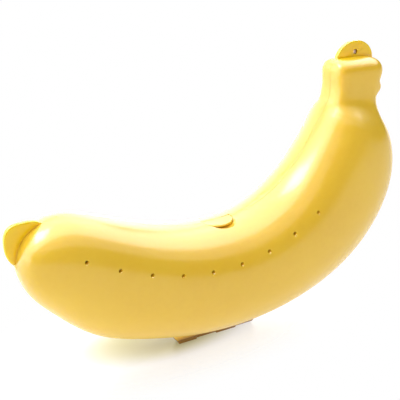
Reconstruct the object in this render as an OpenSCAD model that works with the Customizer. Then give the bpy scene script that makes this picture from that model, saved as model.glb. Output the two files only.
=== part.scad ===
// Banana carrying case: two curved half shells that meet on the plane y = 0,
// hinged along the bottom of the outer curve and held shut by a lift-up flap
// at the middle of the inner curve. It stands on the hinge.
// Frame: X along the case (blossom end -X, stem end +X), front half at -Y,
// Z up, origin on the floor under the middle of the hinge.

/* [Shells] */
// Wall thickness of both half shells
wall = 2; // [1.8:0.1:2.2]
// Gap between the two rims when the case is shut
rim_gap = 0.3; // [0.2:0.05:0.4]
// How far the deepest point of a section leans to the inner curve
lean = 0.1; // [0.05:0.01:0.15]
// Height of the locating tongue on the rear rim
tongue_h = 1.7; // [1.2:0.1:2]

/* [Vents] */
// Number of vent holes in each half
vent_count = 9; // [5:1:11]
// Diameter of a vent hole
vent_d = 1.8; // [1.4:0.1:2.4]

/* [Hinge] */
// Length of the hinge along X
hinge_len = 48; // [44:1:52]
// Height of the hinge axis above the floor
hinge_z = 2; // [1.9:0.05:2.1]
// Diameter of the hinge pin
pin_d = 2; // [1.8:0.1:2.2]
// Radial clearance of the pin in the turning knuckles
pin_clear = 0.05; // [0.03:0.01:0.08]
// Width of the foot under the rear half, from the axis outwards
foot_w = 4.2; // [3.6:0.1:4.4]
// Width of the foot under the front half
front_foot_w = 2.2; // [2:0.1:2.4]

/* [Latch] */
// Width of the latch tab
latch_w = 16.6; // [15:0.2:17]
// Reach of the tab over the front half, from the parting plane
latch_reach = 6.4; // [6:0.1:7]
// Thickness of the latch tab
latch_t = 1.6; // [1.4:0.1:1.8]
// Place of the latch along X
latch_x = 1.2; // [0:0.1:2]

/* [End tabs] */
// Thickness of the stem tab and the blossom tab
tab_t = 2.6; // [2:0.1:3]
// Diameter of the strap hole in the stem tab
strap_d = 2.4; // [2:0.1:3]

/* [Hidden] */

g = rim_gap / 2;
tab_y = g + 0.1; // front face of the end tabs
shell_col = [0.94, 0.76, 0.27];

// Stations from the blossom end to the stem: inner rail x, z, outer rail x, z,
// half depth, and the exponent of the rounded section
ST = [
  [-105.5,  66,   -105.5,  63.5,  1.5, 2.2],
  [-103.5,  73,   -104,    57,    8.5, 2.2],
  [ -98.5,  79,    -99.7,  47.9, 14,   2.2],
  [ -91,    83,    -91.5,  38.6, 18,   2.2],
  [ -79,    84,    -76.6,  25,   22,   2.2],
  [ -50,    74,    -48,    12.5, 25,   2.2],
  [ -17,    65,    -15,     5.9, 26,   2.2],
  [  15,    65.5,   20,     5.7, 26,   2.2],
  [  39,    77,     55.5,  13.5, 26,   2.2],
  [  53,    92,     86.6,  31,   25,   2.2],
  [  60.5, 103.5,  105.3,  57.2, 24,   2.2],
  [  63.2, 108,    109,    76,   22.3, 2.3],
  [  65.2, 111.2,  106.2,  89.2, 20.4, 2.5],
  [  66.8, 113.5,  102,    99.7, 17.2, 2.8],
  [  68,   115.6,   97.6, 108.3, 13.2, 3.3],
  [  68.7, 117.4,   95.7, 113.4, 11.3, 4],
  [  69.2, 120.4,   95.2, 118,   10.5, 4.6],
  [  69.5, 126.5,   96.6, 125.5, 10.2, 4.8],
  [  69,   132.5,   98.2, 131.5, 10,   4.8],
  [  69.6, 135.2,   97.9, 134.2,  9.3, 4.6],
  [  71.2, 137.2,   96.3, 136.3,  7.2, 4.3],
  [  74,   138.3,   93.6, 137.6,  4.2, 4]
];
T_END = len(ST) - 1;
// The cavity stops short of both ends by the wall thickness
T_IN0 = 0.55;
T_IN1 = 18;

NS = 71;  // rings along the case
NT = 18;  // steps around half a section

// Smooth curve through the stations
function st_row(i) = ST[max(0, min(T_END, i))];
function cr(p0, p1, p2, p3, f) =
  0.5 * (2 * p1 + (p2 - p0) * f + (2 * p0 - 5 * p1 + 4 * p2 - p3) * f * f
         + (3 * p1 - p0 - 3 * p2 + p3) * f * f * f);
function st_at(t) =
  let (i = min(T_END - 1, max(0, floor(t))))
  cr(st_row(i - 1), st_row(i), st_row(i + 1), st_row(i + 2), t - i);

// One point of a rounded section: angle 0 is the inner rail, 180 the outer
function spow(v, p) = sign(v) * pow(abs(v), p);
function lean_at(n) = n < 2.6 ? lean * min(1, (2.6 - n) / 0.3) : 0;
function sec(a, b, n, ph) =
  let (q = lean_at(n))
  [a * spow(cos(ph), 2 / n),
   b * pow(abs(sin(ph)), 2 / n) * (1 + q * cos(ph)) / (1 + q * q)];

// Point at station t, offset o inwards from the outside, u and v in the section
function mid(r) = [(r[0] + r[2]) / 2, (r[1] + r[3]) / 2];
function rail_len(r) = norm([r[0] - r[2], r[1] - r[3]]);
function dir_u(r) = [r[0] - r[2], r[1] - r[3]] / max(0.001, rail_len(r));
function place(r, u, y) =
  [mid(r)[0] + u * dir_u(r)[0], y, mid(r)[1] + u * dir_u(r)[1]];
function arc_pt(t, o, ph, s) =
  let (r = st_at(t), p = sec(rail_len(r) / 2 - o, r[4] - o, r[5], ph))
  place(r, p[0], s * (g + p[1]));
function rim_pt(t, o, side, y) =
  let (r = st_at(t)) place(r, side * (rail_len(r) / 2 - o), y);

function t_out(i) = T_END * i / (NS - 1);
function t_in(i) =
  max(T_IN0 + 0.03 * i, min(T_IN1 - 0.03 * (NS - 1 - i), t_out(i)));

// The tongue fades out towards both ends
function fade(i) =
  let (f = t_out(i)) max(0, min(1, (f - 1.5) / 1.5)) * max(0, min(1, (13 - f) / 1.5));

// Half shell as one closed skin. s = -1 front, +1 rear.
// Each ring runs along the outside, across the outer rim, back along the
// inside, and across the inner rim. The front rim has a rebate and the rear
// rim a tongue, so the halves locate in each other.
lip = 0.8;      // outer lip left beside the rebate
tongue_o = 1.1; // outer face of the tongue, from the outside
function rim_o(s) = s < 0 ? lip : tongue_o;
function rim_y(s, i) =
  s < 0 ? -(g + 0.05 + (tongue_h + 0.6) * fade(i))
        : g - 0.05 - (tongue_h + g) * fade(i);
function arc_in(i, j, s) =
  j == 0 || j == NT
    ? rim_pt(t_in(i), wall, j == 0 ? 1 : -1, rim_y(s, i))
    : arc_pt(t_in(i), wall, 180 * j / NT, s);
function ring(i, s) = concat(
  [for (j = [0 : NT]) arc_pt(t_out(i), 0, 180 * j / NT, s)],
  [rim_pt(t_in(i), rim_o(s), -1, s * g), rim_pt(t_in(i), rim_o(s), -1, rim_y(s, i))],
  [for (j = [NT : -1 : 0]) arc_in(i, j, s)],
  [rim_pt(t_in(i), rim_o(s), 1, rim_y(s, i)), rim_pt(t_in(i), rim_o(s), 1, s * g)]
);
M = 2 * (NT + 1) + 4;
function turn(f, s) = s < 0 ? [f[2], f[1], f[0]] : f;
module half_skin(s) {
  pts = [for (i = [0 : NS - 1]) each ring(i, s)];
  side = [for (i = [0 : NS - 2], k = [0 : M - 1])
    let (a = i * M + k, b = i * M + (k + 1) % M, c = a + M, d = b + M)
    each [turn([a, b, d], s), turn([a, d, c], s)]];
  // end caps: outside half disc, inside half disc and the rim between them
  cap = [for (e = [0, 1])
    let (o = e * (NS - 1) * M, w = e == 0 ? s : -s)
    each concat(
      [for (j = [1 : NT - 1]) turn([o, o + j + 1, o + j], w)],
      [for (j = [1 : NT - 1]) turn([o + NT + 3, o + NT + 3 + j + 1, o + NT + 3 + j], w)],
      [turn([o, o + NT + 1, o + NT], w), turn([o, o + M - 1, o + NT + 1], w),
       turn([o + M - 1, o + NT + 2, o + NT + 1], w), turn([o + M - 1, o + M - 2, o + NT + 2], w),
       turn([o + M - 2, o + NT + 3, o + NT + 2], w), turn([o + M - 2, o + M - 3, o + NT + 3], w)])];
  polyhedron(points = pts, faces = concat(side, cap), convexity = 8);
}

// Vent holes: even steps along a line on the upper front of each half
VENT_T0 = 3.91;
VENT_T1 = 8.24;
VN = 60;
function vent_ph(f) = 65 + f * (31.5 + f * (57.5 * f - 96));
vline = [for (k = [0 : VN])
  arc_pt(VENT_T0 + (VENT_T1 - VENT_T0) * k / VN, 0, vent_ph(k / VN), -1)];
function vsum(k) = k == 0 ? 0 : vsum(k - 1) + norm(vline[k] - vline[k - 1]);
vlen = [for (k = [0 : VN]) vsum(k)];
function vfind(d, k = 0) = (k >= VN - 1 || vlen[k + 1] >= d) ? k : vfind(d, k + 1);
function vent_pos(n) =
  let (d = vlen[VN] * n / (vent_count - 1), k = vfind(d),
       f = (d - vlen[k]) / (vlen[k + 1] - vlen[k]))
  vline[k] + f * (vline[k + 1] - vline[k]);
module vents(s) {
  for (n = [0 : vent_count - 1]) let (p = vent_pos(n))
    translate([p[0], s * 14, p[2]]) rotate([s < 0 ? 90 : -90, 0, 0])
      cylinder(d = vent_d, h = 16, $fn = 24);
}

// Height of the outer rail at a given x in the hinge zone
function rail_t(x, lo = 5, hi = 8, n = 0) =
  n > 24 ? (lo + hi) / 2
         : let (m = (lo + hi) / 2) st_at(m)[2] < x ? rail_t(x, m, hi, n + 1) : rail_t(x, lo, m, n + 1);
function rail_z(x) = st_at(rail_t(x))[3];

// Four knuckles, by turns on the front half and on the rear half, from the left
KGAP = 0.3;
kn_l = (hinge_len - 3 * KGAP) / 4;
function kn_x(k) = -hinge_len / 2 + k * (kn_l + KGAP);
module along_x(x0, x1) {
  translate([x0, 0, 0]) rotate([90, 0, 90]) linear_extrude(height = x1 - x0) children();
}
// Knuckle with its leaf up into the shell and its half of the foot. The outer
// ends of the hinge lean out towards the shell.
module knuckle(k, s) {
  x0 = kn_x(k) - (k == 0 ? 6 : 0);
  x1 = kn_x(k) + kn_l + (k == 3 ? 6 : 0);
  ex = hinge_len / 2;
  intersection() {
    along_x(x0, x1) {
      translate([0, hinge_z]) circle(r = hinge_z, $fn = 48);
      if (s > 0)
        polygon([[0, 0], [foot_w - 0.6, 0], [foot_w, 0.6], [foot_w + 0.8, 3],
                 [foot_w + 0.8, 14], [0.9, 14], [0.9, hinge_z], [0, hinge_z]]);
      else
        polygon([[0, 0], [-front_foot_w + 0.6, 0], [-front_foot_w, 0.6], [-front_foot_w - 0.3, hinge_z],
                 [-5, 4.4], [-5, 14], [-2.8, 14], [-2.8, 4.2], [-0.9, 3.4],
                 [-0.9, hinge_z], [0, hinge_z]]);
    }
    // side view of the hinge: its upper edge lies within the shell's wall
    translate([0, 10, 0]) rotate([90, 0, 0]) linear_extrude(height = 20)
      polygon(concat([[-ex + 1.7, 0], [ex - 1.7, 0]],
                     [for (x = [ex + 4 : -4 : -ex - 4]) [x, rail_z(x) + 1.4]]));
  }
}
module hinge_bore(r) {
  translate([-hinge_len / 2 - 1, 0, hinge_z]) rotate([0, 90, 0]) cylinder(r = r, h = hinge_len + 2, $fn = 48);
}

// Finger grip on the outer side of the stem
module stem_nub(s) {
  translate([96.4, s * 2.5, 121.5]) rotate([s < 0 ? 90 : -90, 0, 0]) cylinder(r = 2.3, h = 5.5, $fn = 32);
}

// Latch: a flap that lies in a shallow pocket across the rim and turns on
// trunnions in the rear half. Level of the rim under it and its turning axis.
latch_rim = st_at(6.5)[1];
latch_top = latch_rim + 0.4;
latch_y = 2.6;
latch_z = latch_rim - 1.07;
trun_r = 0.8;
barrel_r = 0.95;
pocket_z = latch_top - latch_t - 0.35; // floor of the pocket in the front half
scoop_z = pocket_z - 0.8;              // floor of the finger scoop
scoop_e = 1.2;                         // how far the scoop reaches past the flap's sides
scoop_y = 3.4;                         // and past its end
cheek_x = latch_w / 2 + 0.3;
boss_x = latch_w / 2 + scoop_e + 0.9;  // half width of the front half's boss
cheek_w = 2;
module along_trun(x0, x1, r) {
  translate([latch_x + x0, latch_y, latch_z]) rotate([0, 90, 0]) cylinder(r = r, h = x1 - x0, $fn = 32);
}
// Solid filling of the half around the latch, a little inside its surface
PN = 10;
module latch_plug(s) {
  pts = [for (i = [0 : PN], j = [0 : NT])
    let (p = arc_pt(6.05 + 0.93 * i / PN, 0.5, 180 * j / NT, s))
    [p[0], s * max(abs(p[1]), g + 0.2), p[2]]];
  m = NT + 1;
  side = [for (i = [0 : PN - 1], k = [0 : NT])
    let (a = i * m + k, b = i * m + (k + 1) % m)
    each [turn([a, b, b + m], s), turn([a, b + m, a + m], s)]];
  cap = [for (e = [0, 1], j = [1 : NT - 1])
    let (o = e * PN * m) turn([o, o + j + 1, o + j], e == 0 ? s : -s)];
  polyhedron(points = pts, faces = concat(side, cap), convexity = 4);
}
module latch_moon(e) {
  intersection() {
    scale([latch_w / 2 + e, latch_reach + e]) circle(r = 1, $fn = 96);
    translate([-latch_w, -2 * latch_reach]) square([2 * latch_w, 2 * latch_reach]);
  }
}
module latch_boss(s) {
  hx = s > 0 ? cheek_x + 1.3 : boss_x;
  intersection() {
    latch_plug(s);
    if (s > 0) translate([latch_x - hx, 0, latch_rim - 3.6]) cube([2 * hx, 6.6, 5]);
    else translate([latch_x - hx, -latch_reach - scoop_y - 1.1, latch_rim - 3.6])
      cube([2 * hx, latch_reach + scoop_y + 1.6, 5]);
  }
}

module rear_shell() {
  color(shell_col) difference() {
    union() {
      half_skin(1);
      for (k = [1, 3]) knuckle(k, 1);
      latch_boss(1);
      along_trun(-cheek_x - cheek_w, -cheek_x + 0.1, 1.5);
      along_trun(cheek_x - 0.1, cheek_x + cheek_w, 1.5);
      stem_nub(1);
      // stem tab, half an ellipse on the parting plane
      translate([85, tab_y + tab_t, 136.2]) rotate([90, 0, 0]) linear_extrude(height = tab_t)
        polygon(concat([for (k = [0 : 40]) [12 * cos(4.5 * k), 9.9 * sin(4.5 * k)]],
                       [[-10.4, -1.4], [10.4, -1.4]]));
      // blossom tab, a flat fin on the parting plane
      translate([0, tab_y + tab_t, 0]) rotate([90, 0, 0]) linear_extrude(height = tab_t)
        polygon([[-94, 82.6], [-94.6, 84.4], [-99.6, 84.7], [-104.6, 84.3], [-107.8, 82.7],
                 [-109.6, 79.9], [-110, 76.4], [-109.8, 72.6], [-109, 69.3], [-107.6, 66.4],
                 [-105, 63.6], [-104, 63], [-103.8, 66], [-102, 72.4], [-97.2, 78.2]]);
    }
    vents(1);
    hinge_bore(pin_d / 2);
    // pocket for the root of the flap, and its trunnion bores
    translate([latch_x - cheek_x, -3, latch_z - barrel_r - 0.4]) cube([2 * cheek_x, latch_y + 4.8, 8]);
    // the tongue stops on both sides of the front half's boss
    translate([latch_x - boss_x - 0.4, -3, latch_z - barrel_r - 0.4]) cube([2 * boss_x + 0.8, 3.05, 8]);
    along_trun(-cheek_x - cheek_w - 1, cheek_x + cheek_w + 1, trun_r + pin_clear);
    translate([85, -1, 140.7]) rotate([-90, 0, 0]) cylinder(d = strap_d, h = 6, $fn = 32);
  }
}

module front_shell() {
  color(shell_col) difference() {
    union() {
      half_skin(-1);
      for (k = [0, 2]) knuckle(k, -1);
      stem_nub(-1);
      latch_boss(-1);
    }
    vents(-1);
    hinge_bore(pin_d / 2 + pin_clear);
    // pocket for the flap, and the finger scoop under its end
    translate([latch_x, 0, pocket_z]) linear_extrude(height = 8) union() {
      latch_moon(0.35);
      translate([-latch_w / 2 - 0.35, -0.01]) square([latch_w + 0.7, 4]);
    }
    translate([latch_x, 0, scoop_z]) linear_extrude(height = 8) intersection() {
      scale([latch_w / 2 + scoop_e, latch_reach + scoop_y]) circle(r = 1, $fn = 96);
      translate([-latch_w, -latch_w - 3.6]) square([2 * latch_w, latch_w]);
    }
  }
}

module hinge_pin() {
  color([0.75, 0.76, 0.78])
    translate([-hinge_len / 2 + 0.4, 0, hinge_z]) rotate([0, 90, 0])
      cylinder(d = pin_d, h = hinge_len - 0.8, $fn = 48);
}

module latch_tab() {
  color(shell_col) {
    along_trun(-cheek_x - cheek_w + 0.3, cheek_x + cheek_w - 0.3, trun_r);
    along_trun(-latch_w / 2, latch_w / 2, barrel_r);
    // half-moon flap, flat underneath so that the rim swings clear of it
    translate([latch_x, 0, latch_top - latch_t]) linear_extrude(height = latch_t) union() {
      latch_moon(0);
      translate([-latch_w / 2, -0.01]) square([latch_w, latch_y + 0.01]);
    }
  }
}

rear_shell();
front_shell();
hinge_pin();
latch_tab();
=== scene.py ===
import math

import bmesh
import bpy
import numpy as np
from mathutils import Matrix, Vector


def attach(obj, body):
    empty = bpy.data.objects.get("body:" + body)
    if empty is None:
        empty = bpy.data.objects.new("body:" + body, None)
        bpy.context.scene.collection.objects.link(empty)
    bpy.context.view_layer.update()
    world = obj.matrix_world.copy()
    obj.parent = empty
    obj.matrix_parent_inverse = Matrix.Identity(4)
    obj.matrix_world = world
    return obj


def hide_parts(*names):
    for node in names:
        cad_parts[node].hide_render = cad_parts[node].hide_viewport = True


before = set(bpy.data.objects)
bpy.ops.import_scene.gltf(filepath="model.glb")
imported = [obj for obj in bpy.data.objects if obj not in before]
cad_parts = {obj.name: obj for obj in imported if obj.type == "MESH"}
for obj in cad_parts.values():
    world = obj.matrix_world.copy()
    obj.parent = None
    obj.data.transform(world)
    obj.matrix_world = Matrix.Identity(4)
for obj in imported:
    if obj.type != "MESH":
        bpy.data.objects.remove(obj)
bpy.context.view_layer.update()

scene = bpy.context.scene
MM = 0.001

# ---------------------------------------------------------------------------
# The case's form, in millimetres, in the part's own frame: stations from the
# blossom end to the stem. Inner rail x, z, outer rail x, z, half depth, and
# the exponent of the rounded section.
# ---------------------------------------------------------------------------
ST = np.array([
    (-105.5, 66, -105.5, 63.5, 1.5, 2.2),
    (-103.5, 73, -104, 57, 8.5, 2.2),
    (-98.5, 79, -99.7, 47.9, 14, 2.2),
    (-91, 83, -91.5, 38.6, 18, 2.2),
    (-79, 84, -76.6, 25, 22, 2.2),
    (-50, 74, -48, 12.5, 25, 2.2),
    (-17, 65, -15, 5.9, 26, 2.2),
    (15, 65.5, 20, 5.7, 26, 2.2),
    (39, 77, 55.5, 13.5, 26, 2.2),
    (53, 92, 86.6, 31, 25, 2.2),
    (60.5, 103.5, 105.3, 57.2, 24, 2.2),
    (63.2, 108, 109, 76, 22.3, 2.3),
    (65.2, 111.2, 106.2, 89.2, 20.4, 2.5),
    (66.8, 113.5, 102, 99.7, 17.2, 2.8),
    (68, 115.6, 97.6, 108.3, 13.2, 3.3),
    (68.7, 117.4, 95.7, 113.4, 11.3, 4.0),
    (69.2, 120.4, 95.2, 118, 10.5, 4.6),
    (69.5, 126.5, 97.0, 125.5, 10.2, 4.8),
    (69, 132.5, 98.6, 131.5, 10, 4.8),
    (69.6, 135.2, 97.9, 134.2, 9.3, 4.6),
    (71.2, 137.2, 96.3, 136.3, 7.2, 4.3),
    (74, 138.3, 93.6, 137.6, 4.2, 4.0),
], float)
GAP = 0.04       # half the gap seen between the rims
LEAN = 0.1       # how far a section's deepest point leans to the inner curve
WALL = 2.0
LIP = 0.8        # front rim: lip beside the rebate
TONGUE_O = 1.1   # rear rim: outer face of the tongue
TONGUE_H = 1.7
EDGE_R = 0.12    # rounding of the rims' outer edge

LATCH_RIM = 63.96875
LATCH_X = 1.2
LATCH_Y = 2.6
LATCH_Z = LATCH_RIM - 1.07
LATCH_A = 8.3        # half width of the flap
LATCH_REACH = 6.4
LATCH_UNDER = LATCH_RIM - 1.2
BARREL_R = 1.0
CHEEK_W = 2.0
HINGE_LEN = 48.0
TAB_Y = -0.02        # front face of the two tabs
HINGE_Z = 2.0
PIN_R = 1.0


# --- smooth curve through the stations (natural cubic over chord length) ---
def natural_spline(x, y):
    n, h = len(x), np.diff(x)
    a, b = np.zeros((n, n)), np.zeros((n, y.shape[1]))
    a[0, 0] = a[-1, -1] = 1
    for i in range(1, n - 1):
        a[i, i - 1], a[i, i], a[i, i + 1] = h[i - 1], 2 * (h[i - 1] + h[i]), h[i]
        b[i] = 6 * ((y[i + 1] - y[i]) / h[i] - (y[i] - y[i - 1]) / h[i - 1])
    return np.linalg.solve(a, b)


_d = np.sqrt(((np.diff(ST[:, 0:2], axis=0) ** 2).sum(1) + (np.diff(ST[:, 2:4], axis=0) ** 2).sum(1)) / 2
             + 0.5 * np.diff(ST[:, 4]) ** 2)
KN = np.concatenate([[0.0], np.cumsum(_d)])
S_END = KN[-1]
M2 = natural_spline(KN, ST)


def st_at(s):
    s = np.clip(np.atleast_1d(np.asarray(s, float)), 0, S_END)
    i = np.clip(np.searchsorted(KN, s) - 1, 0, len(KN) - 2)
    h = KN[i + 1] - KN[i]
    a, b, h = ((KN[i + 1] - s) / h)[:, None], ((s - KN[i]) / h)[:, None], h[:, None]
    return a * ST[i] + b * ST[i + 1] + ((a ** 3 - a) * M2[i] + (b ** 3 - b) * M2[i + 1]) * h * h / 6


def section(a, b, n, ph):
    q = LEAN * min(1.0, max(0.0, (2.6 - n) / 0.3))
    c, s = np.cos(ph), np.sin(ph)
    return a * np.sign(c) * np.abs(c) ** (2 / n), b * np.abs(s) ** (2 / n) * (1 + q * c) / (1 + q * q)


def spaced(total, spacing, n=4000):
    """Positions from 0 to total whose steps follow spacing(position)."""
    x = np.linspace(0, total, n)
    w = np.concatenate([[0], np.cumsum(0.5 * (1 / spacing(x[1:]) + 1 / spacing(x[:-1])) * np.diff(x))])
    k = int(round(w[-1]))
    return np.interp(np.linspace(0, w[-1], k + 1), w, x)


def bell(x, c, w):
    return np.exp(-(((x - c) / w) ** 4))


_ss = np.linspace(0, S_END, 3000)
_mx = st_at(_ss)
S_LATCH = float(_ss[np.argmin(np.abs(_mx[:, 0]))])
S_STEM = float(KN[13])


def ring_step(s):
    h = np.full_like(s, 1.6)
    h = h - 1.12 * bell(s, S_LATCH, 11.0)
    h = h - 1.0 * bell(s, 0.0, 9.0)
    h = h - 1.02 * np.clip((s - S_STEM + 8) / 8, 0, 1)
    return np.maximum(h, 0.45)


RINGS = spaced(S_END, ring_step)
FR = spaced(1.0, lambda f: np.where(f < 0.22, 0.0062, 0.0062 + 0.0105 * np.clip((f - 0.22) / 0.06, 0, 1)))
NA = len(FR)
PH = np.linspace(0, math.pi, 721)


def half_profile(a, b, n, v0):
    """Points of one half section from the inner rail to the outer rail, evenly along the curve as FR says,
    starting and ending at depth v0."""
    u, v = section(a, b, n, PH)
    k = len(PH) // 2
    p0 = np.interp(v0, v[: k + 1], PH[: k + 1])
    p1 = np.interp(v0, v[::-1][: k + 1], PH[::-1][: k + 1])
    ph = np.linspace(p0, p1, 721)
    u, v = section(a, b, n, ph)
    w = np.concatenate([[0], np.cumsum(np.hypot(np.diff(u), np.diff(v)))])
    w /= max(w[-1], 1e-9)
    return section(a, b, n, np.interp(FR, w, ph))


def smooth(x, lo, hi):
    t = np.clip((np.asarray(x, float) - lo) / (hi - lo), 0, 1)
    return t * t * (3 - 2 * t)


S_IN0, S_IN1 = float(KN[0] + 3.4), float(np.interp(18.2, np.arange(len(KN)), KN))
W_IN0, W_IN1 = 9.0, 5.0
S_F0, S_F1 = float(np.interp(1.5, np.arange(len(KN)), KN)), float(np.interp(3.0, np.arange(len(KN)), KN))
S_F2, S_F3 = float(np.interp(11.5, np.arange(len(KN)), KN)), float(np.interp(13.0, np.arange(len(KN)), KN))


def fade(s):
    return float(np.clip((s - S_F0) / (S_F1 - S_F0), 0, 1) * np.clip((S_F3 - s) / (S_F3 - S_F2), 0, 1))


def inner_pos(s):
    """Where the cavity's ring sits for an outer ring at s, and how far it has closed towards its end."""
    if s < S_IN0 + W_IN0:
        f = s / (S_IN0 + W_IN0)
        return S_IN0 + W_IN0 * f, math.sqrt(max(0.0025, 1 - (1 - f) ** 2))
    if s > S_IN1 - W_IN1:
        f = (S_END - s) / (S_END - S_IN1 + W_IN1)
        return S_IN1 - W_IN1 * f, max(0.05, 1 - (1 - f) ** 4) ** 0.5
    return s, 1.0


def local(r):
    mx, mz = (r[0] + r[2]) / 2, (r[1] + r[3]) / 2
    dx, dz = r[0] - r[2], r[1] - r[3]
    length = max(math.hypot(dx, dz), 1e-6)
    return mx, mz, dx / length, dz / length, length / 2


# outer rings: the whole length, then flat-to-domed rings that close the stem's end
CAP_K = (0.93, 0.8, 0.6, 0.38, 0.16)
OUT = [(float(s), 1.0, 0.0) for s in RINGS] + [(S_END, k, 0.35 * (1 - k * k)) for k in CAP_K]
TIP = [(0.0, k, -0.5 * (1 - k * k)) for k in (0.2, 0.55, 0.85)]
OUT = TIP + OUT


def grip(x, y, z, r):
    """Finger grip: a soft rib across the outer side of the stem."""
    w = 0.5 * (1 + np.cos(math.pi * np.clip((z - 121.8) / 4.9, -1, 1)))
    return 2.4 * w * (1 - smooth(np.abs(y), 8.2, 10.6))


def ring_points(side, k_out):
    """One closed loop of a half shell: outside, bottom rim, inside, top rim."""
    s, k, dome = k_out
    r = st_at(s)[0]
    mx, mz, ux, uz, a = local(r)
    b, n = r[4], r[5]
    a, b = a * k, b * k
    er = min(EDGE_R, 0.3 * a, 0.3 * b)
    u, v = half_profile(a, b, n, er)
    # rounded edges of the rim
    al = np.radians([30, 60, 90])
    top = [(u[0] - er + er * math.cos(x), er - er * math.sin(x)) for x in al]
    bot = [(u[-1] + er - er * math.cos(x), er - er * math.sin(x)) for x in al]
    uu = np.concatenate([[p[0] for p in top[::-1]], u, [p[0] for p in bot]])
    vv = np.concatenate([[p[1] for p in top[::-1]], v, [p[1] for p in bot]])
    x, z, y = mx + uu * ux, mz + uu * uz, side * (GAP + vv)
    # direction along the case, for the domed ends
    tx, tz = -uz, ux
    if s > S_END - 1 and (tz < 0):
        tx, tz = -tx, -tz
    if s < 1 and tx > 0:
        tx, tz = -tx, -tz
    x, z = x + abs(dome) * tx, z + abs(dome) * tz
    if s > S_STEM and k == 1.0:
        g = grip(x, y, z, r) * smooth(-uu / a, 0.55, 0.95)
        x, z = x - ux * g, z - uz * g
    out = np.stack([x, y, z], -1)

    si, ki = inner_pos(s)
    if k < 1:
        ki = ki * max(k, 0.3)
    ri = st_at(si)[0]
    mxi, mzi, uxi, uzi, ai = local(ri)
    f = fade(s)
    a_in, b_in = max((ai - WALL) * ki, 0.12), max((ri[4] - WALL) * ki, 0.12)
    if side < 0:
        o, ry = LIP, -(GAP + 0.05 + (TONGUE_H + 0.6) * f)
    else:
        o, ry = TONGUE_O, GAP - 0.05 - (TONGUE_H + GAP) * f
    v0 = min(max(0.0, -ry - GAP), 0.6 * b_in) if side < 0 else 0.0
    u_in, v_in = half_profile(a_in, b_in, ri[5], v0)
    xi, zi = mxi + u_in * uxi, mzi + u_in * uzi
    yi = side * (GAP + v_in)
    if side < 0:
        yi[0] = yi[-1] = ry if f > 0 else -(GAP + 0.05)
    inner = np.stack([xi, yi, zi], -1)[::-1]
    edge_t, edge_b = u_in[0], u_in[-1]
    step_t = edge_t + (WALL - o) * min(1.0, ki)
    step_b = edge_b - (WALL - o) * min(1.0, ki)

    def at(u_, y_):
        return [mxi + u_ * uxi, y_, mzi + u_ * uzi]

    c = 0.18 * (1 if f > 0.05 else 0.2)
    d = 1 if ry > side * GAP else -1
    bot_rim = [at(step_b, side * GAP), at(step_b, ry - d * c if side > 0 else ry), at(step_b + c, ry)]
    top_rim = [at(step_t - c, ry), at(step_t, ry - d * c if side > 0 else ry), at(step_t, side * GAP)]
    if side > 0:   # inner face of the tongue, with its rounded edge
        bot_rim += [at(edge_b - c, ry), at(edge_b, ry - d * c)]
        top_rim = [at(edge_t, ry - d * c), at(edge_t + c, ry)] + top_rim
    return np.concatenate([out, np.array(bot_rim), inner, np.array(top_rim)]), len(out), len(bot_rim), len(inner)


def mesh_from(name, verts, faces):
    me = bpy.data.meshes.new(name)
    me.from_pydata([tuple(v) for v in verts], [], [tuple(int(i) for i in f) for f in faces])
    me.validate()
    ob = bpy.data.objects.new(name, me)
    scene.collection.objects.link(ob)
    return ob


def fix_normals(ob):
    bm = bmesh.new()
    bm.from_mesh(ob.data)
    bmesh.ops.remove_doubles(bm, verts=bm.verts, dist=1e-5)
    bmesh.ops.recalc_face_normals(bm, faces=bm.faces)
    bm.to_mesh(ob.data)
    bm.free()


def half_shell(name, side):
    loops, n_out, n_bot, n_in = [], 0, 0, 0
    for o in OUT:
        p, n_out, n_bot, n_in = ring_points(side, o)
        loops.append(p)
    m = len(loops[0])
    verts = np.concatenate(loops)
    faces = []
    for i in range(len(loops) - 1):
        for k in range(m):
            k2 = (k + 1) % m
            faces.append((i * m + k, i * m + k2, (i + 1) * m + k2, (i + 1) * m + k))
    for i in (0, len(loops) - 1):
        b = i * m
        faces.append(tuple(b + k for k in range(n_out)))
        i0 = n_out + n_bot
        faces.append(tuple(b + k for k in range(i0, i0 + n_in)))
        rim = [0, n_out - 1] + list(range(n_out, i0 + 1)) + list(range(i0 + n_in - 1, m))
        faces.append(tuple(b + k for k in rim))
    ob = mesh_from(name, verts, faces)
    fix_normals(ob)
    return ob


# --- small solid tools, all in millimetres ---------------------------------
def prism(name, outline, lo, hi, axes):
    """Closed prism of a 2-D outline. axes = (first, second, along) as indices of x, y, z."""
    n = len(outline)
    v = np.zeros((2 * n, 3))
    for e, h in enumerate((lo, hi)):
        for i, p in enumerate(outline):
            v[e * n + i, axes[0]], v[e * n + i, axes[1]], v[e * n + i, axes[2]] = p[0], p[1], h
    faces = [tuple(range(n))[::-1], tuple(range(n, 2 * n))]
    faces += [(i, (i + 1) % n, n + (i + 1) % n, n + i) for i in range(n)]
    ob = mesh_from(name, v, faces)
    fix_normals(ob)
    return ob


def lathe(name, profile, centre, axis, n=48):
    """Closed turned solid: profile of (radius, height) from bottom to top, about an axis through centre."""
    c, w = Vector(centre), Vector(axis).normalized()
    u = w.orthogonal().normalized()
    q = w.cross(u)
    verts, faces, m = [], [], len(profile)
    for i in range(n):
        t = 2 * math.pi * i / n
        for r, h in profile:
            verts.append(c + w * h + (u * math.cos(t) + q * math.sin(t)) * r)
    for i in range(n):
        j = (i + 1) % n
        for k in range(m - 1):
            faces.append((i * m + k, j * m + k, j * m + k + 1, i * m + k + 1))
    faces.append(tuple(i * m for i in range(n))[::-1])
    faces.append(tuple(i * m + m - 1 for i in range(n)))
    ob = mesh_from(name, verts, faces)
    fix_normals(ob)
    return ob


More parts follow.
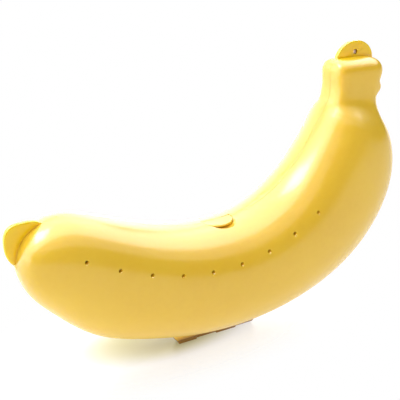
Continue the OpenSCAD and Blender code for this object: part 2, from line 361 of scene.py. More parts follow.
def ball(name, centre, r, seg=96, rings=48):
    bm = bmesh.new()
    bmesh.ops.create_uvsphere(bm, u_segments=seg, v_segments=rings, radius=r)
    bmesh.ops.translate(bm, verts=bm.verts, vec=Vector(centre))
    me = bpy.data.meshes.new(name)
    bm.to_mesh(me)
    bm.free()
    ob = bpy.data.objects.new(name, me)
    scene.collection.objects.link(ob)
    return ob


def box(name, lo, hi):
    x0, y0, z0 = lo
    x1, y1, z1 = hi
    return prism(name, [(x0, y0), (x1, y0), (x1, y1), (x0, y1)], z0, z1, (0, 1, 2))


def boolean(a, b, op, keep=False):
    m = a.modifiers.new("cut", "BOOLEAN")
    m.operation, m.object, m.solver = op, b, "MANIFOLD"
    dg = bpy.context.evaluated_depsgraph_get()
    me = bpy.data.meshes.new_from_object(a.evaluated_get(dg))
    a.modifiers.clear()
    old = a.data
    a.data = me
    bpy.data.meshes.remove(old)
    if not keep:
        drop(b)
    return a


def drop(ob):
    me = ob.data
    bpy.data.objects.remove(ob)
    bpy.data.meshes.remove(me)


def soften(ob, width, angle=40, segments=3):
    """Rounds the sharp edges of a small solid."""
    bm = bmesh.new()
    bm.from_mesh(ob.data)
    edges = [e for e in bm.edges if len(e.link_faces) == 2 and math.degrees(e.calc_face_angle()) > angle]
    bmesh.ops.bevel(bm, geom=edges, offset=width, segments=segments, profile=0.5, affect="EDGES", clamp_overlap=True)
    bmesh.ops.recalc_face_normals(bm, faces=bm.faces)
    bm.to_mesh(ob.data)
    bm.free()
    return ob


def plate(name, outline, y0, y1, r0, r1, shows, steps=5):
    """Flat plate in the XZ plane, its edges rounded by r0 at y0 and by r1 at y1 as far as each point shows."""
    p, shows = np.array(outline, float), np.array(shows, float)[:, None]
    area = 0.5 * np.sum(p[:, 0] * np.roll(p[:, 1], -1) - np.roll(p[:, 0], -1) * p[:, 1])
    if area < 0:
        p, shows = p[::-1], shows[::-1]
    t = np.roll(p, -1, 0) - np.roll(p, 1, 0)
    t /= np.linalg.norm(t, axis=1)[:, None]
    nrm = np.stack([t[:, 1], -t[:, 0]], -1)
    loops = []
    for k in range(steps + 1):
        al = math.pi / 2 * k / steps
        loops.append((r0 * (1 - math.sin(al)), y0 + r0 * (1 - math.cos(al))))
    for k in range(steps + 1):
        al = math.pi / 2 * k / steps
        loops.append((r1 * (1 - math.cos(al)), y1 - r1 * (1 - math.sin(al))))
    n = len(p)
    verts, faces = [], []
    for off, y in loops:
        for a in p - nrm * off * shows:
            verts.append((a[0], y, a[1]))
    for i in range(len(loops) - 1):
        for k in range(n):
            k2 = (k + 1) % n
            faces.append((i * n + k, i * n + k2, (i + 1) * n + k2, (i + 1) * n + k))
    faces.append(tuple(range(n)))
    faces.append(tuple((len(loops) - 1) * n + k for k in range(n))[::-1])
    ob = mesh_from(name, verts, faces)
    fix_normals(ob)
    return ob


def curve_through(points, closed=True, per=10):
    p = np.array(points, float)
    n, out = len(p), []
    for i in range(n if closed else n - 1):
        a, b, c, d = p[(i - 1) % n], p[i], p[(i + 1) % n], p[(i + 2) % n]
        if not closed:
            a = p[max(i - 1, 0)]
            d = p[min(i + 2, n - 1)]
        for k in range(per):
            f = k / per
            out.append(0.5 * (2 * b + (c - a) * f + (2 * a - 5 * b + 4 * c - d) * f * f + (3 * b - a - 3 * c + d) * f ** 3))
    if not closed:
        out.append(p[-1])
    return np.array(out)


def half_solid(name, side, inset, y_min):
    """Filled half near the latch, a little inside the surface."""
    ss = [s for s in RINGS if abs(s - S_LATCH) < 16][::2]
    loops = []
    for s in ss:
        r = st_at(s)[0]
        mx, mz, ux, uz, a = local(r)
        u, v = half_profile(a - inset, r[4] - inset, r[5], y_min - GAP)
        loops.append(np.stack([mx + u * ux, side * (GAP + v), mz + u * uz], -1))
    m = len(loops[0])
    verts, faces = np.concatenate(loops), []
    for i in range(len(loops) - 1):
        for k in range(m):
            k2 = (k + 1) % m
            faces.append((i * m + k, i * m + k2, (i + 1) * m + k2, (i + 1) * m + k))
    faces.append(tuple(range(m)))
    faces.append(tuple((len(loops) - 1) * m + k for k in range(m)))
    ob = mesh_from(name, verts, faces)
    fix_normals(ob)
    return ob


# --- vents: even steps along a line on the upper front of each half ---------
def vent_points(n=9):
    line = []
    for f in np.linspace(0, 1, 61):
        r = st_at(np.interp(3.907 + (8.243 - 3.907) * f, np.arange(len(KN)), KN))[0]
        ph = math.radians(65 + f * (31.5 + f * (57.5 * f - 96)))
        mx, mz, ux, uz, a = local(r)
        u, v = section(a, r[4], r[5], np.array([ph]))
        line.append((mx + u[0] * ux, GAP + v[0], mz + u[0] * uz))
    line = np.array(line)
    w = np.concatenate([[0], np.cumsum(np.linalg.norm(np.diff(line, axis=0), axis=1))])
    return [tuple(np.interp(w[-1] * i / (n - 1), w, line[:, k]) for k in range(3)) for i in range(n)]


VENTS = vent_points()


def cut_vents(ob, side):
    for i, (x, y, z) in enumerate(VENTS):
        prof = [(0.9, 0.0), (0.9, y - 14.0 - 0.32), (0.98, y - 14.0 - 0.1), (1.2, y - 14.0 + 0.2), (1.9, y - 14.0 + 0.9), (1.9, y - 14.0 + 2.0)]
        boolean(ob, lathe("vent", prof, (x, side * 14.0, z), (0, side, 0), 32), "DIFFERENCE")


# --- hinge knuckles with their half of the foot -----------------------------
KGAP = 0.3
KN_L = (HINGE_LEN - 3 * KGAP) / 4
_outer = st_at(np.linspace(0, S_END, 4000))


def rail_z(x):
    """Height of the case's underside on the parting plane."""
    k = (_outer[:, 3] < 20) & (_outer[:, 2] < 60)
    return float(np.interp(x, _outer[k, 2], _outer[k, 3]))


def knuckle(k, side):
    x0 = -HINGE_LEN / 2 + k * (KN_L + KGAP)
    x1 = x0 + KN_L
    xa, xb = (x0 - 5 if k == 0 else x0), (x1 + 5 if k == 3 else x1)

    def outline(x):
        zt = rail_z(x) + 1.25
        if side > 0:
            o = [(0.0, 0.0), (3.2, 0.0), (3.6, 0.06), (3.9, 0.26), (4.15, 0.6), (4.4, 1.3), (4.7, 2.3), (4.9, 3.2),
                 (5.0, 4.0), (5.0, zt), (0.9, zt), (0.9, HINGE_Z + 1.786)]
            a0 = 66
        else:
            o = [(0.0, 0.0), (1.35, 0.0), (1.7, 0.05), (1.95, 0.2), (2.12, 0.45), (2.25, 0.9), (2.4, 1.6), (2.7, 2.25),
                 (3.2, 2.85), (4.2, 3.7), (5.0, 4.4), (5.0, zt), (2.8, zt), (2.8, 4.3), (2.2, 4.0), (1.2, 3.6)]
            a0 = 56
        for d in np.linspace(a0, 266, 30):
            o.append((HINGE_Z * math.cos(math.radians(d)), HINGE_Z + HINGE_Z * math.sin(math.radians(d))))
        return [(side * a, b) for a, b in o]

    ends = [outline(xa), outline(xb)]
    n = len(ends[0])
    verts = [(x, a, b) for x, o in zip((xa, xb), ends) for a, b in o]
    faces = [tuple(range(n))[::-1], tuple(range(n, 2 * n))]
    faces += [(i, (i + 1) % n, n + (i + 1) % n, n + i) for i in range(n)]
    ob = mesh_from("knuckle", verts, faces)
    fix_normals(ob)
    if k in (0, 3):   # the outer ends lean out towards the shell
        s = -1 if k == 0 else 1
        bm = bmesh.new()
        bm.from_mesh(ob.data)
        p0, p1 = Vector((s * 22.3, 0, 0)), Vector((s * 26.3, 0, 5.5))
        along = p1 - p0
        nrm = Vector((along.z, 0, -along.x)) * s
        r = bmesh.ops.bisect_plane(bm, geom=bm.verts[:] + bm.edges[:] + bm.faces[:], plane_co=p0, plane_no=nrm, clear_outer=True)
        edges = [e for e in r["geom_cut"] if isinstance(e, bmesh.types.BMEdge)]
        bmesh.ops.holes_fill(bm, edges=edges)
        bmesh.ops.recalc_face_normals(bm, faces=bm.faces)
        bm.to_mesh(ob.data)
        bm.free()
    return soften(ob, 0.22, angle=50, segments=2)


def along_x(name, r, x0, x1, y, z, ch=0.0, n=64):
    prof = [(r - ch, 0.0), (r, ch), (r, x1 - x0 - ch), (r - ch, x1 - x0)] if ch else [(r, 0.0), (r, x1 - x0)]
    return lathe(name, prof, (x0, y, z), (1, 0, 0), n)


def moon(e, back, n=64):
    a, b = LATCH_A + e, LATCH_REACH + e
    pts = [(LATCH_X + a, back)]
    pts += [(LATCH_X + a * math.cos(t), -b * math.sin(t)) for t in np.linspace(0, math.pi, n)]
    return pts + [(LATCH_X - a, back)]


_inner = _outer[(_outer[:, 0] > -60) & (_outer[:, 0] < 40)]


def top_z(x, y):
    """Height of the case's upper surface near the latch."""
    r = st_at(S_LATCH)[0]
    zr = np.interp(x, _inner[:, 0], _inner[:, 1])
    v = np.clip((np.abs(y) - GAP) / (r[4] * 1.089), 0, 1)
    a = 0.5 * math.hypot(r[0] - r[2], r[1] - r[3])
    return zr - a * (1 - (1 - v ** r[5]) ** (1 / r[5]))


def ellipsoid(name, centre, radii):
    ob = ball(name, (0, 0, 0), 1.0, 128, 64)
    ob.data.transform(Matrix.Translation(Vector(centre)) @ Matrix.Diagonal((*radii, 1.0)))
    return ob


# ---------------------------------------------------------------------------
# Pieces
# ---------------------------------------------------------------------------
def build_front():
    ob = half_shell("front_half_shell", -1)
    for k in (0, 2):
        boolean(ob, knuckle(k, -1), "UNION")
    boss = box("boss", (LATCH_X - 10.6, -12.2, LATCH_RIM - 4.9), (LATCH_X + 10.6, -0.35, LATCH_RIM + 1.6))
    boolean(boss, half_solid("core", -1, 0.5, 0.35), "INTERSECT")
    boolean(ob, boss, "UNION")
    cut_vents(ob, -1)
    boolean(ob, along_x("bore", PIN_R + 0.05, -30, 30, 0, HINGE_Z), "DIFFERENCE")
    boolean(ob, prism("pocket", moon(0.12, 4.0), LATCH_UNDER - 0.15, LATCH_UNDER + 8, (0, 1, 2)), "DIFFERENCE")
    boolean(ob, ellipsoid("scoop", (LATCH_X + 0.7, -4.0, LATCH_RIM - 0.5 + 2.5), (7.9, 8.8, 4.1)), "DIFFERENCE")
    return ob


def build_rear():
    ob = half_shell("rear_half_shell", 1)
    for k in (1, 3):
        boolean(ob, knuckle(k, 1), "UNION")
    boss = box("boss", (LATCH_X - 9.9, 0.0, LATCH_RIM - 3.6), (LATCH_X + 9.9, 6.6, LATCH_RIM + 1.4))
    boolean(boss, half_solid("core", 1, 0.5, 0.35), "INTERSECT")
    boolean(ob, boss, "UNION")
    # stem tab
    tab = [(85 + 12 * math.cos(t), 136.2 + 10.2 * math.sin(t)) for t in np.linspace(-0.02, math.pi + 0.02, 96)]
    tab += [(x, 134.4) for x in np.linspace(74.6, 95.4, 12)]
    shows = [1.0] * 96 + [0.0] * 12
    boolean(ob, plate("stem_tab", tab, TAB_Y, TAB_Y + 2.6, 0.45, 0.7, shows), "UNION")
    # blossom tab
    outer = curve_through([(-91.2, 82.3), (-93.0, 83.5), (-95.6, 84.3), (-99.6, 84.7), (-104.6, 84.3), (-107.8, 82.7), (-109.5, 79.9),
                           (-110.0, 76.4), (-109.8, 72.6), (-109.0, 69.3), (-107.6, 66.4), (-105.2, 63.8), (-104.2, 63.0)],
                          closed=False, per=9)
    inner = [(-104.3, 65.3), (-103.7, 69.3), (-102.5, 72.6), (-100.5, 75.7), (-97.8, 78.3), (-94.6, 80.4), (-92.4, 81.4)]
    fin = list(map(tuple, outer)) + inner
    k = np.arange(len(outer))
    shows = list(smooth(k, 1, 12) * smooth(len(outer) - 1 - k, 1, 12)) + [0.0] * len(inner)
    boolean(ob, plate("blossom_tab", fin, TAB_Y, TAB_Y + 2.6, 0.95, 0.8, shows), "UNION")
    cut_vents(ob, 1)
    boolean(ob, along_x("bore", PIN_R, -30, 30, 0, HINGE_Z), "DIFFERENCE")
    # seat of the flap: a round trough for its barrel, a step for its plate, and the trunnion bores
    a = LATCH_A + 0.12
    boolean(ob, along_x("trough", BARREL_R + 0.12, LATCH_X - a, LATCH_X + a, LATCH_Y, LATCH_Z, n=64), "DIFFERENCE")
    boolean(ob, box("step", (LATCH_X - a, -3.0, LATCH_UNDER - 0.15), (LATCH_X + a, LATCH_Y, LATCH_Z + 7)), "DIFFERENCE")
    # slope that the back of the plate swings over as the flap lifts
    slope = [(-0.3, 0.68), (1.6, 1.77), (1.6, 7.0), (-0.3, 7.0)]
    verts = [(x, LATCH_Y + y, LATCH_Z + z) for x in (LATCH_X - a, LATCH_X + a) for y, z in slope]
    room = mesh_from("lift_room", verts, [(0, 1, 2, 3), (7, 6, 5, 4)] + [(k, k + 4, (k + 1) % 4 + 4, (k + 1) % 4) for k in range(4)])
    fix_normals(room)
    boolean(ob, room, "DIFFERENCE")
    boolean(ob, box("tongue_end", (LATCH_X - 11.6, -3.0, LATCH_RIM - 2.6), (LATCH_X + 11.6, 0.0, LATCH_RIM + 3)), "DIFFERENCE")
    boolean(ob, along_x("trunnion_bore", 0.85, LATCH_X - 10.3, LATCH_X + 10.3, LATCH_Y, LATCH_Z, n=40), "DIFFERENCE")
    hole = [(1.8, -0.4), (1.42, 0.0), (1.26, 0.07), (1.18, 0.22), (1.02, 2.4), (1.06, 2.52), (1.18, 2.62), (1.5, 3.0)]
    boolean(ob, lathe("strap_hole", hole, (85.0, TAB_Y, 140.7), (0, 1, 0), 40), "DIFFERENCE")
    return ob


def build_flap():
    """Half-moon latch flap: its top carries on the case's surface, with a rounded lip, a barrel and trunnions."""
    n = 72
    a = LATCH_A
    end = LATCH_Y - 0.8      # behind this only the barrel carries on, so that the plate clears the rear half as it lifts
    p = [(LATCH_X + a, y) for y in np.linspace(end, 0.3, 8)]
    p += [(LATCH_X + a * math.cos(t), -LATCH_REACH * math.sin(t)) for t in np.linspace(0, math.pi, n)]
    p += [(LATCH_X - a, y) for y in np.linspace(0.3, end, 8)]
    p += [(LATCH_X + x, end) for x in np.linspace(-a + 0.8, a - 0.8, 16)]
    p = np.array(p)
    area = 0.5 * np.sum(p[:, 0] * np.roll(p[:, 1], -1) - np.roll(p[:, 0], -1) * p[:, 1])
    if area < 0:
        p = p[::-1]
    c = np.array([LATCH_X, -1.0])

    def inset(d):
        """Outline drawn in towards the middle by about d."""
        q = p - c
        k = 1 - d / np.array([LATCH_A, 4.6])
        return c + q * np.maximum(k, 0.02)

    def under(q):
        return LATCH_UNDER + 0.0 * q[:, 1]

    def over(q):
        # the lip stands a little proud of the case
        return top_z(q[:, 0], q[:, 1]) + 0.03 + 0.42 * smooth(-q[:, 1], 0.5, LATCH_REACH)

    loops = []
    for off in (4.2, 3.4, 2.6, 1.8, 1.2, 0.6, 0.3):
        q = inset(off)
        loops.append(np.column_stack([q, under(q)]))
    for off, dz in ((0.12, 0.05), (0.0, 0.2)):
        q = inset(off)
        loops.append(np.column_stack([q, under(q) + dz]))
    for off, dz in ((0.0, -0.32), (0.05, -0.18), (0.14, -0.07), (0.3, -0.01), (0.6, 0.0), (1.2, 0.0), (1.8, 0.0), (2.6, 0.0), (3.4, 0.0), (4.2, 0.0)):
        q = inset(off)
        loops.append(np.column_stack([q, over(q) + dz]))
    m = len(p)
    verts, faces = np.concatenate(loops), []
    for i in range(len(loops) - 1):
        for k in range(m):
            k2 = (k + 1) % m
            faces.append((i * m + k, i * m + k2, (i + 1) * m + k2, (i + 1) * m + k))
    faces.append(tuple(range(m))[::-1])
    faces.append(tuple((len(loops) - 1) * m + k for k in range(m)))
    ob = mesh_from("latch_flap", verts, faces)
    fix_normals(ob)
    boolean(ob, along_x("barrel", BARREL_R, LATCH_X - a, LATCH_X + a, LATCH_Y, LATCH_Z, 0.12, 64), "UNION")
    boolean(ob, along_x("trunnion", 0.8, LATCH_X - a - 1.7, LATCH_X + a + 1.7, LATCH_Y, LATCH_Z, 0.2, 40), "UNION")
    return ob


def build_pin():
    return along_x("hinge_pin_wire", PIN_R - 0.004, -23.6, 23.6, 0, HINGE_Z, 0.3, 64)


def finish_mesh(ob, angle=33):
    me = ob.data
    me.transform(Matrix.Scale(MM, 4))
    me.polygons.foreach_set("use_smooth", [True] * len(me.polygons))
    me.set_sharp_from_angle(angle=math.radians(angle))
    me.update()


# ---------------------------------------------------------------------------
# Materials
# ---------------------------------------------------------------------------
def new_material(name):
    m = bpy.data.materials.new(name)
    m.use_nodes = True
    nt = m.node_tree
    nt.nodes.clear()
    out = nt.nodes.new("ShaderNodeOutputMaterial")
    bsdf = nt.nodes.new("ShaderNodeBsdfPrincipled")
    nt.links.new(bsdf.outputs[0], out.inputs[0])
    return m, nt, bsdf


def node(nt, kind, **values):
    n = nt.nodes.new(kind)
    for k, v in values.items():
        if k in n.inputs:
            n.inputs[k].default_value = v
        else:
            setattr(n, k, v)
    return n


def noise(nt, coord, scale, detail=3.0, rough=0.5):
    n = nt.nodes.new("ShaderNodeTexNoise")
    n.inputs["Scale"].default_value = scale
    n.inputs["Detail"].default_value = detail
    n.inputs["Roughness"].default_value = rough
    nt.links.new(coord, n.inputs["Vector"])
    return n


def ramp(nt, fac, stops):
    r = nt.nodes.new("ShaderNodeValToRGB")
    e = r.color_ramp.elements
    e[0].position, e[0].color = stops[0]
    e[1].position, e[1].color = stops[-1]
    for pos, col in stops[1:-1]:
        x = e.new(pos)
        x.color = col
    nt.links.new(fac, r.inputs["Fac"])
    return r


def scaled(nt, value, lo, hi, lo2, hi2):
    n = nt.nodes.new("ShaderNodeMapRange")
    n.inputs["From Min"].default_value, n.inputs["From Max"].default_value = lo, hi
    n.inputs["To Min"].default_value, n.inputs["To Max"].default_value = lo2, hi2
    nt.links.new(value, n.inputs["Value"])
    return n


def yellow_plastic(name, base):
    m, nt, bsdf = new_material(name)
    coord = nt.nodes.new("ShaderNodeTexCoord").outputs["Object"]
    cloud = noise(nt, coord, 22.0, 3.0, 0.55)        # slow drift of the pigment
    fine = noise(nt, coord, 420.0, 2.0, 0.5)         # faint mottling of the resin
    mix = nt.nodes.new("ShaderNodeMath")
    mix.operation = "MULTIPLY_ADD"
    nt.links.new(fine.outputs["Fac"], mix.inputs[0])
    mix.inputs[1].default_value = 0.35
    nt.links.new(cloud.outputs["Fac"], mix.inputs[2])
    r, g, b = base
    col = ramp(nt, mix.outputs[0], [
        (0.38, (r * 0.965, g * 0.945, b * 0.88, 1)),
        (0.66, (r, g, b, 1)),
        (0.95, (min(r * 1.02, 1), g * 1.035, b * 1.15, 1))])
    # painted light: the two thin tabs are tinted a deeper, more saturated yellow than the walls, standing in for their
    # shade and the light bounced onto them from the shell
    xyz = nt.nodes.new("ShaderNodeSeparateXYZ")
    nt.links.new(coord, xyz.inputs[0])
    off = nt.nodes.new("ShaderNodeVectorMath")
    off.operation = "MULTIPLY_ADD"
    nt.links.new(coord, off.inputs[0])
    off.inputs[1].default_value = (1.0, 0.0, 1.0)
    off.inputs[2].default_value = (0.086, 0.0, -0.064)
    dist = nt.nodes.new("ShaderNodeVectorMath")
    dist.operation = "LENGTH"
    nt.links.new(off.outputs[0], dist.inputs[0])
    past_tip = scaled(nt, dist.outputs["Value"], 0.0196, 0.0207, 0.0, 1.0)
    left = scaled(nt, xyz.outputs["X"], -0.090, -0.094, 0.0, 1.0)
    high = scaled(nt, xyz.outputs["Z"], 0.061, 0.064, 0.0, 1.0)
    stem = scaled(nt, xyz.outputs["Z"], 0.1376, 0.1386, 0.0, 1.0)
    fin = past_tip.outputs[0]
    for other, op in ((left, "MULTIPLY"), (high, "MULTIPLY"), (stem, "MAXIMUM")):
        q = nt.nodes.new("ShaderNodeMath")
        q.operation = op
        nt.links.new(fin, q.inputs[0])
        nt.links.new(other.outputs[0], q.inputs[1])
        fin = q.outputs[0]
    # painted shade and bounce light on the tabs, applied as a colour multiply
    tab_painted_tint = nt.nodes.new("ShaderNodeMix")
    tab_painted_tint.data_type, tab_painted_tint.blend_type = "RGBA", "MULTIPLY"
    nt.links.new(fin, tab_painted_tint.inputs["Factor"])
    nt.links.new(col.outputs["Color"], tab_painted_tint.inputs["A"])
    tab_painted_tint.inputs["B"].default_value = (1.05, 1.15, 0.06, 1)
    # painted shade: the foot of the hinge and the wall of the strap hole are darkened brown, standing in for the deep
    # shade that falls there; noise breaks up the edge
    shade_edge_noise = noise(nt, coord, 260.0, 4.0, 0.65)
    reach = nt.nodes.new("ShaderNodeMath")
    reach.operation = "MULTIPLY_ADD"
    nt.links.new(shade_edge_noise.outputs["Fac"], reach.inputs[0])
    reach.inputs[1].default_value = 0.0016
    nt.links.new(xyz.outputs["Z"], reach.inputs[2])
    low = scaled(nt, reach.outputs[0], 0.0072, 0.0048, 0.0, 1.0)
    eye = nt.nodes.new("ShaderNodeVectorMath")
    eye.operation = "MULTIPLY_ADD"
    nt.links.new(coord, eye.inputs[0])
    eye.inputs[1].default_value = (1.0, 0.0, 1.0)
    eye.inputs[2].default_value = (-0.085, 0.0, -0.1407)
    span = nt.nodes.new("ShaderNodeVectorMath")
    span.operation = "LENGTH"
    nt.links.new(eye.outputs[0], span.inputs[0])
    bore = scaled(nt, span.outputs["Value"], 0.00145, 0.0012, 0.0, 1.0)
    painted_shade_mask = nt.nodes.new("ShaderNodeMath")
    painted_shade_mask.operation = "MAXIMUM"
    nt.links.new(low.outputs[0], painted_shade_mask.inputs[0])
    nt.links.new(bore.outputs[0], painted_shade_mask.inputs[1])
    # painted shade multiplied into the base colour
    foot = nt.nodes.new("ShaderNodeMix")
    foot.data_type, foot.blend_type = "RGBA", "MULTIPLY"
    nt.links.new(painted_shade_mask.outputs[0], foot.inputs["Factor"])
    nt.links.new(tab_painted_tint.outputs["Result"], foot.inputs["A"])
    foot.inputs["B"].default_value = (0.36, 0.24, 0.1, 1)
    nt.links.new(foot.outputs["Result"], bsdf.inputs["Base Color"])
    wipe = noise(nt, coord, 55.0, 4.0, 0.6)          # handling haze
    rough = scaled(nt, wipe.outputs["Fac"], 0.3, 0.75, 0.19, 0.28)
    nt.links.new(rough.outputs[0], bsdf.inputs["Roughness"])
    peel = noise(nt, coord, 900.0, 2.0, 0.5)         # moulded orange-peel texture
    swell = noise(nt, coord, 60.0, 1.0, 0.4)         # faint sink of the wall
    add = nt.nodes.new("ShaderNodeMath")
    add.operation = "MULTIPLY_ADD"
    nt.links.new(swell.outputs["Fac"], add.inputs[0])
    add.inputs[1].default_value = 4.0
    nt.links.new(peel.outputs["Fac"], add.inputs[2])
    bump = nt.nodes.new("ShaderNodeBump")
    bump.inputs["Strength"].default_value = 0.12
    bump.inputs["Distance"].default_value = 0.00006
    nt.links.new(add.outputs[0], bump.inputs["Height"])
    nt.links.new(bump.outputs[0], bsdf.inputs["Normal"])
    bsdf.inputs["IOR"].default_value = 1.58
    bsdf.inputs["Subsurface Weight"].default_value = 0.4
    bsdf.inputs["Subsurface Radius"].default_value = (1.0, 0.97, 0.2)
    bsdf.inputs["Subsurface Scale"].default_value = 0.0025
    return m


def pin_steel():
    m, nt, bsdf = new_material("pin_steel")
    coord = nt.nodes.new("ShaderNodeTexCoord").outputs["Object"]
    mp = nt.nodes.new("ShaderNodeMapping")
    mp.inputs["Scale"].default_value = (60.0, 2200.0, 2200.0)
    nt.links.new(coord, mp.inputs["Vector"])
    draw = noise(nt, mp.outputs[0], 1.0, 3.0, 0.6)   # drawing lines along the wire
    col = ramp(nt, draw.outputs["Fac"], [(0.3, (0.42, 0.42, 0.43, 1)), (0.7, (0.66, 0.66, 0.67, 1))])
    nt.links.new(col.outputs["Color"], bsdf.inputs["Base Color"])
    rough = scaled(nt, draw.outputs["Fac"], 0.25, 0.75, 0.22, 0.42)
    nt.links.new(rough.outputs[0], bsdf.inputs["Roughness"])
    bump = nt.nodes.new("ShaderNodeBump")
    bump.inputs["Strength"].default_value = 0.25
    bump.inputs["Distance"].default_value = 0.00003
    nt.links.new(draw.outputs["Fac"], bump.inputs["Height"])
    nt.links.new(bump.outputs[0], bsdf.inputs["Normal"])
    bsdf.inputs["Metallic"].default_value = 1.0
    return m


BASE = (0.93, 0.585, 0.048)
shell_mat = yellow_plastic("yellow_shell_plastic", BASE)
flap_mat = yellow_plastic("yellow_flap_plastic", (BASE[0], BASE[1] * 1.01, BASE[2] * 1.05))
steel_mat = pin_steel()

for build, body, nodes, slot, mat, ang in (
        (build_rear, "rear_half", ["rear_shell"], "yellow_shell", shell_mat, 33),
        (build_front, "front_half", ["front_shell"], "yellow_shell", shell_mat, 33),
        (build_flap, "latch", ["latch_tab"], "yellow_tab", flap_mat, 40),
        (build_pin, "rear_half", ["hinge_pin"], "pin_steel", steel_mat, 33)):
    piece = build()
    finish_mesh(piece, ang)
    piece.data.materials.clear()
    piece.data.materials.append(mat)
    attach(piece, body)
    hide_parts(*nodes)

# ---------------------------------------------------------------------------
# Camera, floor and light
# ---------------------------------------------------------------------------
cam_data = bpy.data.cameras.new("camera")
cam_data.lens, cam_data.sensor_width = 81.0, 36.0
cam_data.clip_start, cam_data.clip_end = 0.01, 50.0
cam = bpy.data.objects.new("camera", cam_data)
scene.collection.objects.link(cam)
az, el = math.radians(-31.0), math.radians(23.0 - 1.414)
cam.location = Vector((-0.22234, -0.35506, 0.24083))
back = Vector((math.sin(az) * math.cos(el), -math.cos(az) * math.cos(el), math.sin(el)))
cam.rotation_mode = "QUATERNION"
cam.rotation_quaternion = (-back).to_track_quat("-Z", "Y")
scene.camera = cam

def sheet(name, z, mat):
    bm = bmesh.new()
    bmesh.ops.create_grid(bm, x_segments=4, y_segments=4, size=6.0)
    bmesh.ops.translate(bm, verts=bm.verts, vec=Vector((0.0, 0.0, z)))
    me = bpy.data.meshes.new(name)
    bm.to_mesh(me)
    bm.free()
    me.materials.append(mat)
    ob = bpy.data.objects.new(name, me)
    scene.collection.objects.link(ob)
    return ob


FLOOR_FRONT, FLOOR_BACK = 0.75, 1.5


def paper(name, veil):
    """White paper that glows softly, more towards the back of the sweep; round the case's foot the glow is cut back as
    a painted contact shadow and tinted yellow as painted light bounced off the case.
    A veil is only there round the foot of the case and thins out to nothing."""
    m, nt, bsdf = new_material(name)
    bsdf.inputs["Roughness"].default_value = 0.32
    co = nt.nodes.new("ShaderNodeTexCoord").outputs["Object"]
    xyz = nt.nodes.new("ShaderNodeSeparateXYZ")
    nt.links.new(co, xyz.inputs[0])
    glow = scaled(nt, xyz.outputs["Y"], 0.03, 0.2, FLOOR_FRONT, FLOOR_BACK)
    glow.interpolation_type = "SMOOTHSTEP"
    off = nt.nodes.new("ShaderNodeVectorMath")
    off.operation = "MULTIPLY_ADD"
    nt.links.new(co, off.inputs[0])
    off.inputs[1].default_value = (1 / 0.056, 1 / 0.026, 0.0)
    off.inputs[2].default_value = (0.025 / 0.056, -0.012 / 0.026, 0.0)
    dist = nt.nodes.new("ShaderNodeVectorMath")
    dist.operation = "LENGTH"
    nt.links.new(off.outputs[0], dist.inputs[0])
    # painted contact shadow: the glow falls away towards the foot of the case
    near = scaled(nt, dist.outputs["Value"], 0.25, 1.1, 0.2, 1.0)
    near.interpolation_type = "SMOOTHSTEP"
    mul = nt.nodes.new("ShaderNodeMath")
    mul.operation = "MULTIPLY"
    nt.links.new(glow.outputs[0], mul.inputs[0])
    nt.links.new(near.outputs[0], mul.inputs[1])
    nt.links.new(mul.outputs[0], bsdf.inputs["Emission Strength"])
    # painted bounce light: a yellow tint in the glow and in the paper's colour round the foot
    painted_bounce_mask = scaled(nt, dist.outputs["Value"], 0.35, 1.0, 0.0, 1.0)
    painted_bounce_mask.interpolation_type = "SMOOTHSTEP"
    painted_bounce_glow = nt.nodes.new("ShaderNodeMix")
    painted_bounce_glow.data_type = "RGBA"
    nt.links.new(painted_bounce_mask.outputs[0], painted_bounce_glow.inputs["Factor"])
    painted_bounce_glow.inputs["A"].default_value = (1.0, 0.93, 0.42, 1)
    painted_bounce_glow.inputs["B"].default_value = (1.0, 1.0, 1.0, 1)
    nt.links.new(painted_bounce_glow.outputs["Result"], bsdf.inputs["Emission Color"])
    painted_bounce_albedo = nt.nodes.new("ShaderNodeMix")
    painted_bounce_albedo.data_type = "RGBA"
    nt.links.new(painted_bounce_mask.outputs[0], painted_bounce_albedo.inputs["Factor"])
    painted_bounce_albedo.inputs["A"].default_value = (0.3, 0.27, 0.1, 1)
    painted_bounce_albedo.inputs["B"].default_value = (0.25, 0.25, 0.25, 1)
    nt.links.new(painted_bounce_albedo.outputs["Result"], bsdf.inputs["Base Color"])
    if veil:
        thick = scaled(nt, dist.outputs["Value"], 1.0, 2.2, 1.0, 0.0)
        thick.interpolation_type = "SMOOTHSTEP"
        clear = nt.nodes.new("ShaderNodeBsdfTransparent")
        milky = nt.nodes.new("ShaderNodeMixShader")
        nt.links.new(thick.outputs[0], milky.inputs[0])
        nt.links.new(clear.outputs[0], milky.inputs[1])
        nt.links.new(bsdf.outputs[0], milky.inputs[2])
        nt.links.new(milky.outputs[0], nt.nodes["Material Output"].inputs[0])
    return m


# The floor that is seen is a veil round the foot, so that the half that swings below it when the case opens still
# shows. The sheet under it sends the light back up, and far below lies a white ground that is only seen.
floor = sheet("floor", 0.0, paper("floor_paper", True))
floor.visible_diffuse = floor.visible_glossy = floor.visible_shadow = False
bounce = sheet("bounce", -0.0005, paper("bounce_paper", False))
bounce.visible_camera = bounce.visible_shadow = False
gm, gnt, gb = new_material("ground_paper")
gb.inputs["Base Color"].default_value = (0.0, 0.0, 0.0, 1)
gb.inputs["Specular IOR Level"].default_value = 0.0
gb.inputs["Emission Color"].default_value = (1.0, 1.0, 1.0, 1)
gb.inputs["Emission Strength"].default_value = 1.0
ground = sheet("ground", -0.3, gm)
ground.visible_diffuse = ground.visible_glossy = ground.visible_shadow = False

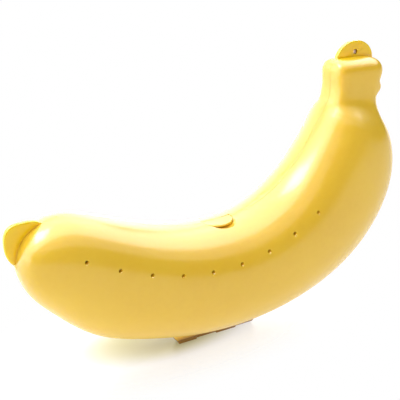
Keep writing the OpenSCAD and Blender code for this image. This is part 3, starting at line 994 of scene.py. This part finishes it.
# white wall round the room, also only seen
bm = bmesh.new()
rings = [[bm.verts.new((4.0 * math.cos(t), 4.0 * math.sin(t), z)) for t in np.linspace(0, 2 * math.pi, 96, endpoint=False)] for z in (-0.3, 4.0)]
for k in range(96):
    j = (k + 1) % 96
    bm.faces.new((rings[0][k], rings[1][k], rings[1][j], rings[0][j]))
me = bpy.data.meshes.new("wall")
bm.to_mesh(me)
bm.free()
me.materials.append(gm)
wall = bpy.data.objects.new("wall", me)
scene.collection.objects.link(wall)
wall.visible_diffuse = wall.visible_glossy = wall.visible_shadow = False


def softbox(name, centre, target, size, radiance, seen="both"):
    """Rectangular studio light. seen says whether it lights the surfaces, shows in their gloss, or both."""
    d = bpy.data.lights.new(name, "AREA")
    d.shape, d.size, d.size_y = "RECTANGLE", size[0], size[1]
    d.energy = radiance * math.pi * size[0] * size[1]
    o = bpy.data.objects.new(name, d)
    scene.collection.objects.link(o)
    o.location = Vector(centre)
    o.rotation_mode = "QUATERNION"
    o.rotation_quaternion = (Vector(target) - Vector(centre)).to_track_quat("-Z", "Y")
    o.visible_camera = False
    o.visible_diffuse = seen != "gloss"
    o.visible_glossy = seen != "diffuse"
    return o


softbox("overhead", (0.15, 0.05, 1.30), (0.15, 0.05, 0.0), (3.0, 2.2), 0.9, "diffuse")
softbox("overhead_gloss", (0.0, 0.63, 1.20), (0.0, 0.63, 0.0), (3.6, 1.9), 5.5, "gloss")
softbox("overhead_front", (0.0, -0.85, 1.20), (0.0, -0.85, 0.0), (3.6, 1.06), 1.4, "gloss")
softbox("key", (-0.52, 0.36, 0.93), (0.0, 0.0, 0.06), (0.55, 0.4), 9.0)
softbox("key_gloss", (-0.55, 0.38, 0.98), (0.0, 0.0, 0.06), (0.58, 0.42), 5.0, "gloss")
softbox("backdrop", (0.0, 1.75, 0.6), (0.0, 0.0, 0.5), (3.6, 1.1), 3.6, "gloss")
softbox("left_wall", (-1.7, 0.95, 0.6), (0.0, 0.95, 0.6), (2.2, 1.2), 4.0, "gloss")
softbox("front_fill", (-1.6, -0.9, 0.55), (0.0, 0.0, 0.2), (1.2, 0.8), 1.0, "diffuse")

world = bpy.data.worlds.new("studio")
scene.world = world
world.use_nodes = True
wn = world.node_tree
wn.nodes["Background"].inputs["Color"].default_value = (1.0, 1.0, 1.0, 1)
wn.nodes["Background"].inputs["Strength"].default_value = 0.28
world.cycles_visibility.glossy = False

scene.view_settings.view_transform = "Standard"
scene.view_settings.look = "None"
scene.view_settings.exposure = 0.0
scene.view_settings.gamma = 1.0
